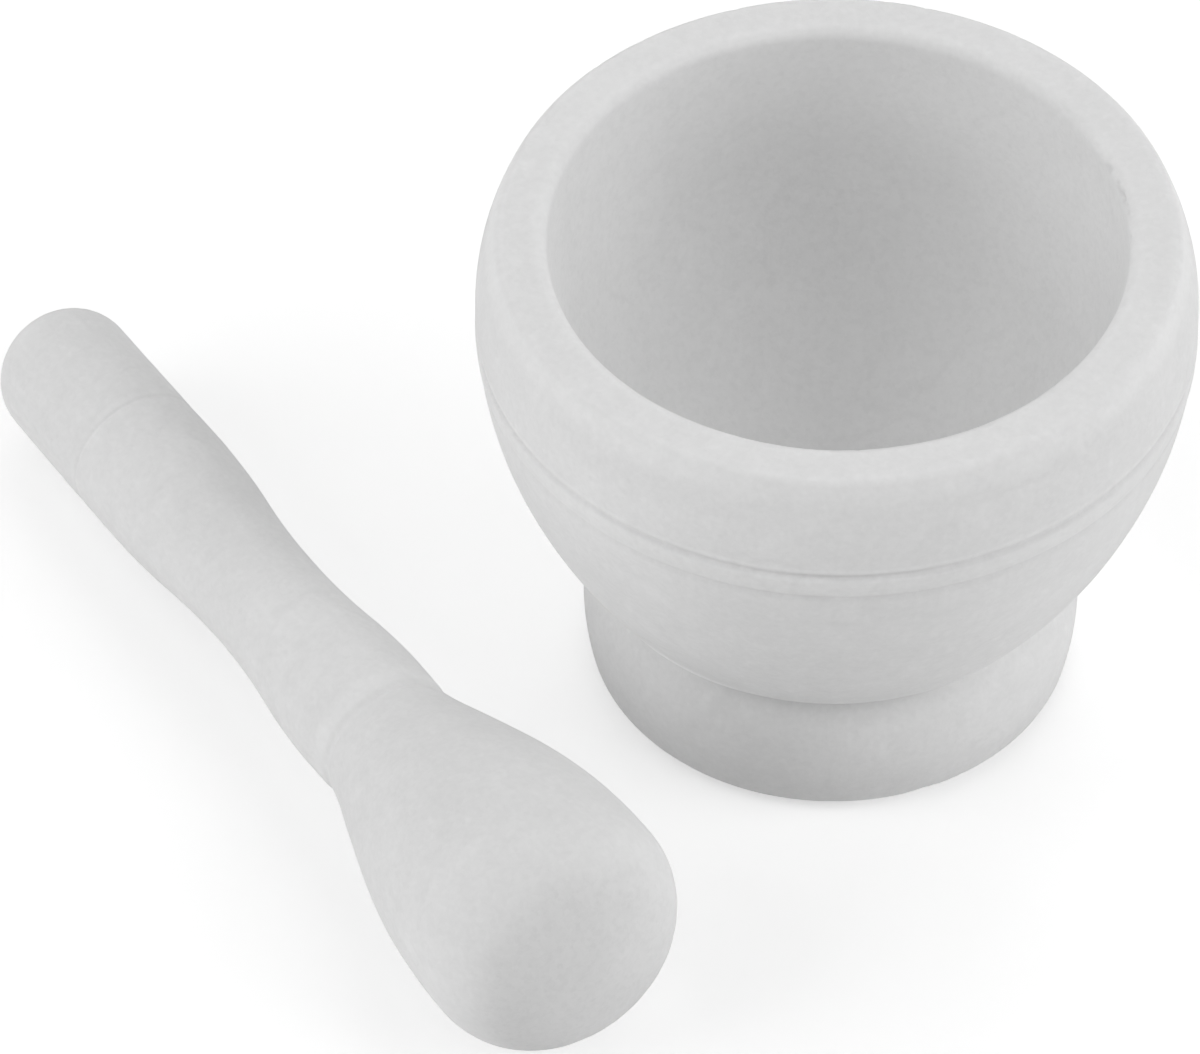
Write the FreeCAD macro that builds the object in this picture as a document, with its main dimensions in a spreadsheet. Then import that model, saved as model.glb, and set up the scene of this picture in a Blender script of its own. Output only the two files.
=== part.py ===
import FreeCAD, Part
import os
import math
import Sketcher

# Mortar and pestle in honed white marble, with a thin foam pad under the foot.
#
# Frame: the mortar's axis is Z, the table is Z = 0, +X is the viewer's right
# and the front is -Y. Millimetres throughout.
#
#   mortar    bowl and foot, turned from one block, standing on the pad
#   pestle    one turned piece, lying to the left with its head to the front
#   base_pad  anti-slip foam disc under the foot

doc = FreeCAD.newDocument("MortarAndPestle")

# ---------------------------------------------------------------- dimensions
# Mortar heights are from the foot's underside. Pestle stations run along its
# axis from the handle end.
# Columns: alias, value, note
DIMENSIONS = [
    # base pad
    ("pad_diameter", 58.0, "Foam pad, diameter"),
    ("pad_thickness", 1.5, "Foam pad, thickness"),
    ("pad_edge", 0.3, "Foam pad, edge rounding"),
    # mortar, outside
    ("mortar_height", 78.7, "Mortar, foot underside to rim"),
    ("foot_base_radius", 33.98, "Foot, radius at the underside"),
    ("foot_bulge_radius", 35.026, "Foot, widest radius"),
    ("foot_bulge_height", 9.95, "Foot, height of the widest point"),
    ("foot_lower_arc", 39.518, "Foot, arc below the widest point"),
    ("foot_upper_arc", 18.304, "Foot, arc above the widest point"),
    ("neck_radius", 31.0, "Neck under the bowl, radius"),
    ("neck_height", 20.5, "Neck under the bowl, height"),
    ("ledge_radius", 34.627, "Bowl's lower edge, radius"),
    ("ledge_height", 21.315, "Bowl's lower edge, height"),
    ("wall_low_radius", 47.691, "Wall, end of the lower arc, radius"),
    ("wall_low_height", 47.945, "Wall, end of the lower arc, height"),
    ("wall_mid_radius", 49.975, "Wall, end of the middle arc, radius"),
    ("wall_mid_height", 66.263, "Wall, end of the middle arc, height"),
    ("wall_low_arc", 78.943, "Wall, lower arc"),
    ("wall_mid_arc", 64.743, "Wall, middle arc"),
    ("wall_top_arc", 31.279, "Wall, upper arc"),
    ("rim_outer_radius", 47.136, "Rim, outer corner before rounding"),
    ("foot_edge", 1.0, "Foot, edge rounding"),
    ("neck_fillet", 0.8, "Neck, inside rounding"),
    ("ledge_edge", 0.35, "Bowl's lower edge, rounding"),
    ("rim_outer_edge", 1.5, "Rim, outer rounding"),
    ("rim_inner_edge", 1.8, "Rim, inner rounding"),
    # mortar, cavity
    ("mouth_radius", 40.2, "Cavity, radius at the mouth"),
    ("cavity_floor", 19.2, "Cavity, height of the floor"),
    ("cavity_a_radius", 38.301, "Cavity, end of the wall arc, radius"),
    ("cavity_a_height", 58.895, "Cavity, end of the wall arc, height"),
    ("cavity_b_radius", 29.36, "Cavity, end of the side arc, radius"),
    ("cavity_b_height", 34.208, "Cavity, end of the side arc, height"),
    ("cavity_c_radius", 3.45, "Cavity, end of the bottom arc, radius"),
    ("cavity_c_height", 19.267, "Cavity, end of the bottom arc, height"),
    ("cavity_wall_arc", 278.25, "Cavity, wall arc"),
    ("cavity_side_arc", 61.218, "Cavity, side arc"),
    ("cavity_bottom_arc", 32.132, "Cavity, bottom arc"),
    ("cavity_overcut", 2.0, "Cavity, how far the cut runs above the rim"),
    # mortar, the two scored lines
    ("upper_line_height", 62.9, "Upper scored line, height"),
    ("upper_line_surface", 49.952, "Upper scored line, wall radius there"),
    ("lower_line_height", 58.8, "Lower scored line, height"),
    ("lower_line_surface", 49.686, "Lower scored line, wall radius there"),
    ("line_width", 1.5, "Scored lines, width at the surface"),
    ("line_bottom", 0.5, "Scored lines, width at the bottom"),
    ("line_depth", 0.5, "Scored lines, depth"),
    # pestle
    ("pestle_length", 156.1, "Pestle, overall length"),
    ("end_shoulder_arc", 7.9, "Handle end, shoulder arc"),
    ("end_crown_radius", 8.386, "Handle end, crown edge, radius"),
    ("end_crown_station", 3.997, "Handle end, crown edge, station"),
    ("grip_radius", 10.149, "Grip start, radius"),
    ("grip_station", 8.972, "Grip start, station"),
    ("swell_radius", 10.302, "Upper swell, radius"),
    ("swell_station", 35.554, "Upper swell, station"),
    ("swell_arc", 137.865, "Upper swell, arc"),
    ("waist_in_radius", 9.435, "Waist start, radius"),
    ("waist_in_station", 51.735, "Waist start, station"),
    ("waist_arc", 122.682, "Waist, arc"),
    ("waist_out_radius", 9.644, "Waist end, radius"),
    ("waist_out_station", 80.981, "Waist end, station"),
    ("collar_arc", 97.052, "Collar, arc"),
    ("collar_radius", 10.199, "Collar edge, radius"),
    ("collar_station", 99.8, "Collar edge, station"),
    ("flare_in_arc", 43.368, "Head, first arc after the collar"),
    ("flare_in_radius", 11.709, "Head, end of the first arc, radius"),
    ("flare_in_station", 105.89, "Head, end of the first arc, station"),
    ("flare_arc", 434.859, "Head, long side arc"),
    ("flare_radius", 15.467, "Head, end of the long side arc, radius"),
    ("flare_station", 118.001, "Head, end of the long side arc, station"),
    ("head_side_arc", 81.822, "Head, arc to the widest point"),
    ("head_radius", 18.79, "Head, widest radius"),
    ("head_station", 142.162, "Head, station where the face begins"),
    ("face_side_arc", 12.975, "Head, arc round to the face"),
    ("face_edge_radius", 10.68, "Grinding face, edge radius"),
    ("face_edge_station", 154.022, "Grinding face, edge station"),
    ("ring_station", 29.15, "Scored ring on the grip, station"),
    ("ring_surface", 10.265, "Scored ring on the grip, grip radius there"),
    ("ring_width", 0.9, "Scored ring on the grip, width at the surface"),
    ("ring_bottom", 0.3, "Scored ring on the grip, width at the bottom"),
    ("ring_depth", 0.2, "Scored ring on the grip, depth"),
    ("collar_ring_width", 1.2, "Scored ring at the collar, width at the surface"),
    ("collar_ring_bottom", 0.4, "Scored ring at the collar, width at the bottom"),
    ("collar_ring_depth", 0.2, "Scored ring at the collar, depth"),
    # where the pestle lies
    ("pestle_x", -115.493, "Pestle, handle end, X"),
    ("pestle_y", 45.541, "Pestle, handle end, Y"),
    ("pestle_z", 9.55, "Pestle, handle end, Z"),
    ("pestle_heading", 33.253, "Pestle, heading from the front towards +X, degrees"),
    ("pestle_tilt", 3.815, "Pestle, axis rise towards the head, degrees"),
]
VALUE = {alias: value for alias, value, note in DIMENSIONS}

sheet = doc.addObject("Spreadsheet::Sheet", "Dimensions")
sheet.Label = "Dimensions"
sheet.set("A1", "Dimension")
sheet.set("B1", "Millimetres or degrees")
for row, (alias, value, note) in enumerate(DIMENSIONS, start=2):
    sheet.set(f"A{row}", note)
    sheet.set(f"B{row}", str(value))
    sheet.setAlias(f"B{row}", alias)
doc.recompute()

# Smallest volumes the cuts must remove, mm3
LEAST_CAVITY = 150000.0
LEAST_LINES = 100.0
LEAST_RINGS = 5.0

EDGE_TOLERANCE = 0.02  # for finding an edge by its radius and height

# ------------------------------------------------------------ sketch helpers
# A coordinate is an alias, a sum of aliases such as "a + b", or ZERO.
ZERO = None
ON_AXIS = "centre on the axis"

# Sketcher's numbers for points of a curve and for the sketch's own axes
START, END, CENTRE = 1, 2, 3
H_AXIS, V_AXIS = -1, -2
ORIGIN = (-1, 1)


def amount(term):
    if term is ZERO:
        return 0.0
    return sum(VALUE[alias.strip()] for alias in term.split("+"))


def cells(term):
    return " + ".join("Dimensions." + alias.strip() for alias in term.split("+"))


def new_sketch(body, name, role="XZ_Plane"):
    plane = next(item for item in body.Origin.OriginFeatures if item.Role == role)
    sketch = body.newObject("Sketcher::SketchObject", name)
    sketch.AttachmentSupport = [(plane, "")]
    sketch.MapMode = "FlatFace"
    return sketch


def drive(sketch, name, kind, where, value, expression):
    """Add a named dimension that follows an expression."""
    index = sketch.addConstraint(Sketcher.Constraint(kind, *where, value))
    sketch.renameConstraint(index, name)
    sketch.setExpression("Constraints." + name, expression)


def pin(sketch, point, across, up, name):
    """Tie a point to the cells that hold its two coordinates."""
    if across is ZERO and up is ZERO:
        sketch.addConstraint(Sketcher.Constraint("Coincident", *point, *ORIGIN))
        return
    for term, axis, kind, suffix in ((across, V_AXIS, "DistanceX", "_radius"),
                                     (up, H_AXIS, "DistanceY", "_height")):
        if term is ZERO:
            sketch.addConstraint(Sketcher.Constraint("PointOnObject", *point, axis))
        else:
            drive(sketch, name + suffix, kind, (*ORIGIN, *point), amount(term), cells(term))


def add_line(sketch, begin, end):
    return sketch.addGeometry(
        Part.LineSegment(FreeCAD.Vector(*begin, 0), FreeCAD.Vector(*end, 0)), False)


def add_arc(sketch, begin, end, radius, left):
    """Short arc from begin to end that turns left or right. It is stored
    counterclockwise, so one that turns right starts at its far end."""
    dx, dy = end[0] - begin[0], end[1] - begin[1]
    chord = math.hypot(dx, dy)
    rise = math.sqrt(max(radius * radius - chord * chord / 4.0, 0.0))
    sign = 1.0 if left else -1.0
    centre_x = (begin[0] + end[0]) / 2.0 - sign * rise * dy / chord
    centre_y = (begin[1] + end[1]) / 2.0 + sign * rise * dx / chord
    first, last = (begin, end) if left else (end, begin)
    first_angle = math.atan2(first[1] - centre_y, first[0] - centre_x)
    last_angle = math.atan2(last[1] - centre_y, last[0] - centre_x)
    if last_angle < first_angle:
        last_angle += 2.0 * math.pi
    circle = Part.Circle(
        FreeCAD.Vector(centre_x, centre_y, 0), FreeCAD.Vector(0, 0, 1), radius)
    return sketch.addGeometry(Part.ArcOfCircle(circle, first_angle, last_angle), False)


def closed_profile(sketch, outline):
    """Draw a counterclockwise outline of (radius, height) points. After its
    point, each entry says how the outline gets there: nothing for a straight
    line, an arc radius and 'left' (bulging out) or 'right' (hollow), or ON_AXIS
    for a left arc centred on the turning axis. A line closes the outline."""
    steps = outline[1:] + outline[:1]
    curves = []  # (geometry index, point where it begins, point where it ends)
    for here, step in zip(outline, steps):
        begin = (amount(here[0]), amount(here[1]))
        end = (amount(step[0]), amount(step[1]))
        left = True
        if len(step) == 2:
            geometry = add_line(sketch, begin, end)
        elif step[2] is ON_AXIS:
            # the centre is the point of the axis equally far from both ends
            centre_height = ((end[0] ** 2 + end[1] ** 2 - begin[0] ** 2 - begin[1] ** 2)
                             / (2.0 * (end[1] - begin[1])))
            radius = math.hypot(begin[0], begin[1] - centre_height)
            geometry = add_arc(sketch, begin, end, radius, left)
        else:
            left = step[3] == "left"
            geometry = add_arc(sketch, begin, end, VALUE[step[2]], left)
        curves.append((geometry, START, END) if left else (geometry, END, START))

    for (geometry, _, last), (following, first, _) in zip(curves, curves[1:] + curves[:1]):
        sketch.addConstraint(
            Sketcher.Constraint("Coincident", geometry, last, following, first))
    for i, (point, (geometry, first, _)) in enumerate(zip(outline, curves)):
        pin(sketch, (geometry, first), point[0], point[1], f"p{i}")
    for i, (step, (geometry, _, _)) in enumerate(zip(steps, curves)):
        if len(step) == 3:
            sketch.addConstraint(
                Sketcher.Constraint("PointOnObject", geometry, CENTRE, V_AXIS))
        elif len(step) == 4:
            drive(sketch, f"arc{i}", "Radius", (geometry,), VALUE[step[2]], cells(step[2]))
    return sketch


# ----------------------------------------------------------- feature helpers
def turn(body, kind, name, sketch):
    """Revolve a sketch fully about its vertical axis, to add or to cut."""
    feature = body.newObject(kind, name)
    feature.Profile = sketch
    feature.ReferenceAxis = (sketch, ["V_Axis"])
    feature.Angle = 360.0
    sketch.Visibility = False
    doc.recompute()
    return feature


def score(body, name, surface, height, size):
    """Cut a shallow line with sloping sides round a body. 'size' is the prefix
    of its width, bottom and depth cells. The cutter stands as far outside the
    surface as the line is deep."""
    width, bottom, depth = (f"{size}_{part}" for part in ("width", "bottom", "depth"))
    inner_half = (VALUE[bottom] / 2, f"{cells(bottom)} / 2")
    outer_half = (VALUE[width] - VALUE[bottom] / 2,
                  f"({cells(width)} - {cells(bottom)} / 2)")
    sign = {"-": -1, "+": 1}
    corners = []  # (radius, height), as values and as expressions
    spots = []
    for side, level, (half, half_cells) in (("-", "-", inner_half), ("+", "-", outer_half),
                                            ("+", "+", outer_half), ("-", "+", inner_half)):
        corners.append((VALUE[surface] + sign[side] * VALUE[depth],
                        VALUE[height] + sign[level] * half))
        spots.append((f"{cells(surface)} {side} {cells(depth)}",
                      f"{cells(height)} {level} {half_cells}"))

    sketch = new_sketch(body, name + "Section")
    for begin, end in zip(corners, corners[1:] + corners[:1]):
        add_line(sketch, begin, end)
    for i in range(4):
        sketch.addConstraint(Sketcher.Constraint("Coincident", i, END, (i + 1) % 4, START))
    for i, (corner, spot) in enumerate(zip(corners, spots)):
        where = (*ORIGIN, i, START)
        drive(sketch, f"corner{i}_radius", "DistanceX", where, corner[0], spot[0])
        drive(sketch, f"corner{i}_height", "DistanceY", where, corner[1], spot[1])
    return turn(body, "PartDesign::Groove", name, sketch)


def circle_edge(shape, radius, height):
    """Name of the circular edge about Z with this radius and height."""
    for i, edge in enumerate(shape.Edges, start=1):
        if edge.Degenerated or not isinstance(edge.Curve, Part.Circle):
            continue
        centre = edge.Curve.Center
        if (abs(edge.Curve.Radius - radius) < EDGE_TOLERANCE
                and abs(centre.z - height) < EDGE_TOLERANCE
                and math.hypot(centre.x, centre.y) < EDGE_TOLERANCE):
            return f"Edge{i}"
    raise RuntimeError(f"no edge of radius {radius:.3f} at {height:.3f}")


def round_edge(body, name, base, radius, height, size):
    fillet = body.newObject("PartDesign::Fillet", name)
    fillet.Base = (base, [circle_edge(base.Shape, radius, height)])
    fillet.Radius = VALUE[size]
    fillet.setExpression("Radius", cells(size))
    base.Visibility = False
    doc.recompute()
    return fillet


def require_cut(before, after, least):
    removed = before.Shape.Volume - after.Shape.Volume
    if not removed > least:
        raise RuntimeError(f"{after.Name}: only {removed:.1f} mm3 was cut away")


def new_body(name, label):
    body = doc.addObject("PartDesign::Body", name)
    body.Label = label
    return body


# -------------------------------------------------------------------- mortar
MORTAR_OUTLINE = [
    (ZERO, ZERO),
    ("foot_base_radius", ZERO),
    ("foot_bulge_radius", "foot_bulge_height", "foot_lower_arc", "left"),
    ("neck_radius", "neck_height", "foot_upper_arc", "left"),
    ("ledge_radius", "ledge_height"),
    ("wall_low_radius", "wall_low_height", "wall_low_arc", "left"),
    ("wall_mid_radius", "wall_mid_height", "wall_mid_arc", "left"),
    ("rim_outer_radius", "mortar_height", "wall_top_arc", "left"),
    (ZERO, "mortar_height"),
]
CAVITY_OUTLINE = [
    (ZERO, "cavity_floor"),
    ("cavity_c_radius", "cavity_c_height", ON_AXIS),
    ("cavity_b_radius", "cavity_b_height", "cavity_bottom_arc", "left"),
    ("cavity_a_radius", "cavity_a_height", "cavity_side_arc", "left"),
    ("mouth_radius", "mortar_height", "cavity_wall_arc", "left"),
    ("mouth_radius", "mortar_height + cavity_overcut"),
    (ZERO, "mortar_height + cavity_overcut"),
]
# Columns: feature, radius and height of the sharp edge, size of the rounding
MORTAR_ROUNDINGS = [
    ("RimOuterEdge", "rim_outer_radius", "mortar_height", "rim_outer_edge"),
    ("RimInnerEdge", "mouth_radius", "mortar_height", "rim_inner_edge"),
    ("FootEdge", "foot_base_radius", ZERO, "foot_edge"),
    ("NeckFillet", "neck_radius", "neck_height", "neck_fillet"),
    ("LedgeEdge", "ledge_radius", "ledge_height", "ledge_edge"),
]


def build_mortar():
    body = new_body("Mortar", "mortar")
    outline = closed_profile(new_sketch(body, "MortarOutline"), MORTAR_OUTLINE)
    blank = turn(body, "PartDesign::Revolution", "MortarBlank", outline)
    hollow = closed_profile(new_sketch(body, "CavityOutline"), CAVITY_OUTLINE)
    cavity = turn(body, "PartDesign::Groove", "Cavity", hollow)
    require_cut(blank, cavity, LEAST_CAVITY)

    score(body, "UpperScoredLine", "upper_line_surface", "upper_line_height", "line")
    step = score(body, "LowerScoredLine", "lower_line_surface", "lower_line_height", "line")
    require_cut(cavity, step, LEAST_LINES)

    for name, radius, height, size in MORTAR_ROUNDINGS:
        step = round_edge(body, name, step, amount(radius), amount(height), size)
    body.setExpression("Placement.Base.z", cells("pad_thickness"))
    return body


# -------------------------------------------------------------------- pestle
# Drawn upright, handle end at the origin, from there up to the grinding face.
PESTLE_OUTLINE = [
    (ZERO, ZERO),
    ("end_crown_radius", "end_crown_station", ON_AXIS),
    ("grip_radius", "grip_station", "end_shoulder_arc", "left"),
    ("swell_radius", "swell_station"),
    ("waist_in_radius", "waist_in_station", "swell_arc", "left"),
    ("waist_out_radius", "waist_out_station", "waist_arc", "right"),
    ("collar_radius", "collar_station", "collar_arc", "left"),
    ("flare_in_radius", "flare_in_station", "flare_in_arc", "right"),
    ("flare_radius", "flare_station", "flare_arc", "left"),
    ("head_radius", "head_station", "head_side_arc", "left"),
    ("face_edge_radius", "face_edge_station", "face_side_arc", "left"),
    (ZERO, "pestle_length", ON_AXIS),
]


def lay_down(body):
    """Tip the upright pestle over towards its heading, short of level by its tilt."""
    heading = math.radians(VALUE["pestle_heading"])
    body.Placement = FreeCAD.Placement(
        FreeCAD.Vector(VALUE["pestle_x"], VALUE["pestle_y"], VALUE["pestle_z"]),
        FreeCAD.Rotation(FreeCAD.Vector(math.cos(heading), math.sin(heading), 0),
                         90.0 - VALUE["pestle_tilt"]))
    for axis in "xyz":
        body.setExpression(f"Placement.Base.{axis}", cells(f"pestle_{axis}"))
    for axis, function in (("x", "cos"), ("y", "sin")):
        body.setExpression(f"Placement.Rotation.Axis.{axis}",
                           f"{function}({cells('pestle_heading')} * 1 deg)")
    body.setExpression("Placement.Rotation.Angle",
                       f"90 deg - {cells('pestle_tilt')} * 1 deg")


def build_pestle():
    body = new_body("Pestle", "pestle")
    outline = closed_profile(new_sketch(body, "PestleOutline"), PESTLE_OUTLINE)
    billet = turn(body, "PartDesign::Revolution", "PestleBillet", outline)
    score(body, "GripRing", "ring_surface", "ring_station", "ring")
    rings = score(body, "CollarRing", "collar_radius", "collar_station", "collar_ring")
    require_cut(billet, rings, LEAST_RINGS)
    lay_down(body)
    return body


# ------------------------------------------------------------------ base pad
def build_base_pad():
    """Foam disc, rounded at its lower edge."""
    body = new_body("BasePad", "base_pad")
    diameter = VALUE["pad_diameter"]
    sketch = new_sketch(body, "PadOutline", "XY_Plane")
    circle = sketch.addGeometry(Part.Circle(
        FreeCAD.Vector(0, 0, 0), FreeCAD.Vector(0, 0, 1), diameter / 2.0), False)
    sketch.addConstraint(Sketcher.Constraint("Coincident", circle, CENTRE, *ORIGIN))
    drive(sketch, "across", "Diameter", (circle,), diameter, cells("pad_diameter"))
    disc = body.newObject("PartDesign::Pad", "FoamSheet")
    disc.Profile = sketch
    disc.Length = VALUE["pad_thickness"]
    disc.setExpression("Length", cells("pad_thickness"))
    sketch.Visibility = False
    doc.recompute()
    round_edge(body, "PadEdge", disc, diameter / 2.0, 0.0, "pad_edge")
    return body


# ------------------------------------------------------------ build and save
bodies = [build_mortar(), build_pestle(), build_base_pad()]
doc.recompute()

for item in doc.Objects:
    bad = [word for word in item.State if word in ("Invalid", "Error")]
    if bad:
        raise RuntimeError(f"{item.Name} is {bad}")

os.makedirs("parts", exist_ok=True)
for body in bodies:
    shape = body.Shape
    if shape.isNull() or not shape.isValid() or len(shape.Solids) != 1:
        raise RuntimeError(f"{body.Label} has no single valid solid")
    shape.exportStep(f"parts/{body.Label}.step")
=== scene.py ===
"""A white marble mortar on a foam pad, with its pestle, built over the CAD frame.

The three pieces are turned from the design's own profiles at a fine pitch, then worked over vertex by
vertex: rounded edges, scored lines and the bead between them, chips, ground faces, and the slight
unevenness of hand finishing. Profiles are in millimetres, the scene in metres. Where each piece stands is
measured from the CAD nodes. Front is -Y, right is +X, and the mortar's axis is upright.
"""

import math

import bpy
import numpy as np
from mathutils import Matrix, Vector, noise


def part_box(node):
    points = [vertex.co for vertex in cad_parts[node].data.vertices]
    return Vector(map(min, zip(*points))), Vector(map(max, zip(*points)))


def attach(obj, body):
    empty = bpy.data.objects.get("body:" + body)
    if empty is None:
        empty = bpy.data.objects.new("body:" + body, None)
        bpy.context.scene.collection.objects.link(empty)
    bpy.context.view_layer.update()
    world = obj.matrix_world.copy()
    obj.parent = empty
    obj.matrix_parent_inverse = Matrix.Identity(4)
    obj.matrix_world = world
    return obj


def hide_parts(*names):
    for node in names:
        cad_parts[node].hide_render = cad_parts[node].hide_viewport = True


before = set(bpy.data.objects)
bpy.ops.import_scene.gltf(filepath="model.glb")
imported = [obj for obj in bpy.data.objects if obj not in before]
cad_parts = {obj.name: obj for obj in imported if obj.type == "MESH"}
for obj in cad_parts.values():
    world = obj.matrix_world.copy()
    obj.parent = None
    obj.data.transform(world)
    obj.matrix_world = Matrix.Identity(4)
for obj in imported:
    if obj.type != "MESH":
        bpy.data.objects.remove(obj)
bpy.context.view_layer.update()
MM = 0.001
RNG = np.random.default_rng(20417)


# ---------------------------------------------------------------- profiles
# Each row is one step of an outline: (radius, height) for a straight line, (radius, height, arc radius,
# side) for an arc with its centre to that side of the way travelled, or (radius, height, "axis") for an
# arc centred on the axis.

FOOT = (33.98, 0.0)
NECK = (31.0, 20.5)
LEDGE = (34.627, 21.315)  # lower edge of the mortar's wall
RIM_OUT = (47.136, 78.7)
RIM_IN = (40.2, 78.7)
MORTAR_OUTSIDE = [
    FOOT,
    (35.026, 9.95, 39.518, "left"),
    (*NECK, 18.304, "left"),
    LEDGE,
    (47.691, 47.945, 78.943, "left"),
    (49.975, 66.263, 64.743, "left"),
    (*RIM_OUT, 31.279, "left"),
    RIM_IN,
]
BOWL_FLOOR_EDGE = (3.45, 19.267)
BOWL_CENTRE = (0.0, 19.2)
MORTAR_BOWL = [
    (38.301, 58.895, 278.25, "right"),
    (29.36, 34.208, 61.218, "right"),
    (*BOWL_FLOOR_EDGE, 32.132, "right"),
]
# corner, rounding radius, then how far the fine rings reach and their pitch
MORTAR_EDGES = [
    (RIM_IN, 1.8, 2.0, 0.24),
    (RIM_OUT, 1.25, 1.8, 0.25),
    (LEDGE, 0.45, 1.6, 0.15),
    (NECK, 0.9, 0.9, 0.22),
    (FOOT, 1.0, 1.0, 0.25),
]
# heights of the two scored lines, then how far the surface stands out at each height round them: the
# upper one is a narrow groove, the lower one a soft step under the bead left between them
SCORES = (63.0, 58.8)
SCORE_SHAPE = [
    (56.6, 0.0), (57.4, -0.02), (58.0, -0.08), (58.5, -0.25), (58.78, -0.24), (59.02, 0.02),
    (59.3, 0.13), (60.0, 0.17), (61.0, 0.18), (61.8, 0.15), (62.15, 0.07), (62.38, -0.10),
    (62.65, -0.41), (63.0, -0.48), (63.2, -0.38), (63.45, -0.06), (63.75, 0.03), (64.1, 0.03),
    (64.7, 0.0),
]

RING = (10.265, 29.15)  # where the pestle's thin ring is cut
COLLAR = (10.199, 99.8)
# from the thin end up to the pounding face
PESTLE_OUTSIDE = [
    (8.386, 3.997, "axis"),
    (10.149, 8.972, 7.9, "left"),
    (10.302, 35.554),
    (9.435, 51.735, 137.865, "left"),
    (9.644, 80.981, 122.682, "right"),
    (*COLLAR, 97.052, "left"),
    (11.709, 105.89, 43.368, "right"),
    (15.467, 118.001, 434.859, "left"),
    (18.79, 142.162, 81.822, "left"),
    (10.68, 154.022, 12.975, "left"),
    (0.0, 156.1, "axis"),
]

PAD_FACE_RADIUS, PAD_RADIUS, PAD_THICKNESS = 28.6, 28.98, 1.48
PAD_OUTSIDE = [
    (PAD_FACE_RADIUS, 0.0),
    (PAD_RADIUS, 0.42, 0.5, "left"),
    (PAD_RADIUS, 1.08, 1.6, "left"),
    (PAD_FACE_RADIUS, PAD_THICKNESS, 0.5, "left"),
    (0.0, PAD_THICKNESS),
]


def direction(vector):
    """Angle of a (radius, height) vector."""
    return math.atan2(vector[1], vector[0])


def arc_points(centre, radius, angles):
    return np.column_stack(
        [centre[0] + radius * np.cos(angles), centre[1] + radius * np.sin(angles)]
    )


def arc(start, end, radius, side="left", count=48):
    """Points after start up to end on the arc of that radius, or on the one centred on the axis."""
    start, end = np.array(start, float), np.array(end, float)
    if radius == "axis":
        height = (end @ end - start @ start) / (2 * (end[1] - start[1]))
        centre = np.array([0.0, height])
        radius = math.hypot(start[0], start[1] - height)
    else:
        step = end - start
        chord = math.hypot(*step)
        rise = math.sqrt(max(radius * radius - chord * chord / 4, 0.0))
        sign = 1 if side == "left" else -1
        centre = (start + end) / 2 + sign * rise * np.array([-step[1], step[0]]) / chord
    first, last = direction(start - centre), direction(end - centre)
    if side == "left" and last < first:
        last += 2 * math.pi
    if side == "right" and last > first:
        last -= 2 * math.pi
    return arc_points(centre, radius, np.linspace(first, last, count + 1)[1:])


def outline(start, steps, count=48):
    """The polyline from start through those steps, each in count pieces."""
    points, here = [np.array([start], float)], start
    for step in steps:
        end = step[:2]
        if len(step) == 2:
            share = np.linspace(0, 1, count + 1)[1:, None]
            points.append(np.array(here) + share * (np.array(end) - np.array(here)))
        else:
            points.append(arc(here, end, *step[2:], count=count))
        here = end
    return np.vstack(points)


def nearest_index(points, where):
    return int(np.argmin(np.hypot(points[:, 0] - where[0], points[:, 1] - where[1])))


def rounded(points, corner, radius, count=12):
    """The polyline with its point nearest to corner rounded off."""
    index = nearest_index(points, corner)
    tip = points[index]
    back, ahead = points[index - 1] - tip, points[index + 1] - tip
    back, ahead = back / np.hypot(*back), ahead / np.hypot(*ahead)
    angle = math.acos(float(np.clip(back @ ahead, -1, 1)))
    cut = radius / math.tan(angle / 2)
    low, high = index - 1, index + 1
    while np.hypot(*(points[low] - tip)) < cut:
        low -= 1
    while np.hypot(*(points[high] - tip)) < cut:
        high += 1
    half = (back + ahead) / np.hypot(*(back + ahead))
    centre = tip + half * radius / math.sin(angle / 2)
    first = direction(tip + back * cut - centre)
    last = direction(tip + ahead * cut - centre)
    turn = (last - first + math.pi) % (2 * math.pi) - math.pi
    curve = arc_points(centre, radius, first + np.linspace(0, 1, count) * turn)
    return np.vstack([points[: low + 1], curve, points[high:]])


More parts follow.
